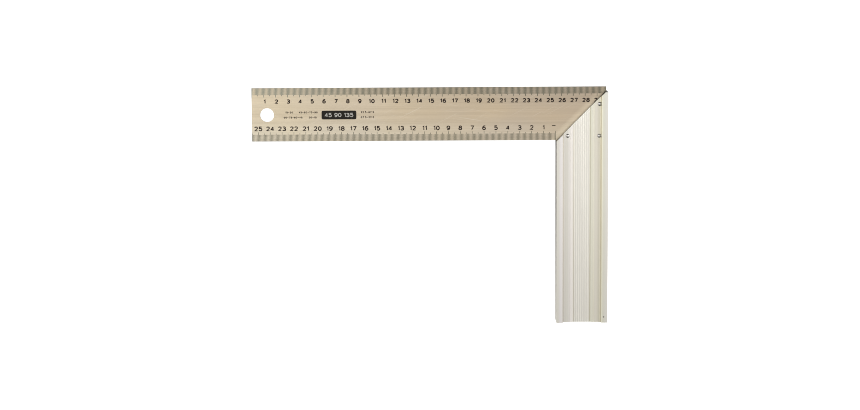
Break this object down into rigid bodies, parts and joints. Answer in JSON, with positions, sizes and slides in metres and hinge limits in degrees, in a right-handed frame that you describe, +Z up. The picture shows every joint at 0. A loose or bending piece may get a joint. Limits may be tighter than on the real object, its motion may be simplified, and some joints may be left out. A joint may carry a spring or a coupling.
{
  "type": "try and mitre square",
  "caption": "Fixed carpenter's try and mitre square: graduated steel blade with a hanging hole, riveted into a slotted, fluted aluminium stock with a mitred end.",
  "frame": {"origin": "middle of the overall box, at the level of the stock's underside", "axes": "+X along the blade, from its free end to the stock; +Y from the stock's foot to the blade's outer edge; +Z up through the stock's thickness"},
  "size_m": [0.2992, 0.1996, 0.02],
  "materials": {
    "blade": "brushed lengthwise, warm satin stainless",
    "stock": "satin anodised extrusion with fine lengthwise draw lines",
    "rivets": "satin, peened heads",
    "markings": "dark etched and filled graduations and figures"
  },
  "bodies": {
    "root": {"blade": "blade", "stock": "stock", "rivet_outer_upper": "rivets", "rivet_outer_lower": "rivets", "rivet_inner_lower": "rivets"}
  },
  "joints": []
}
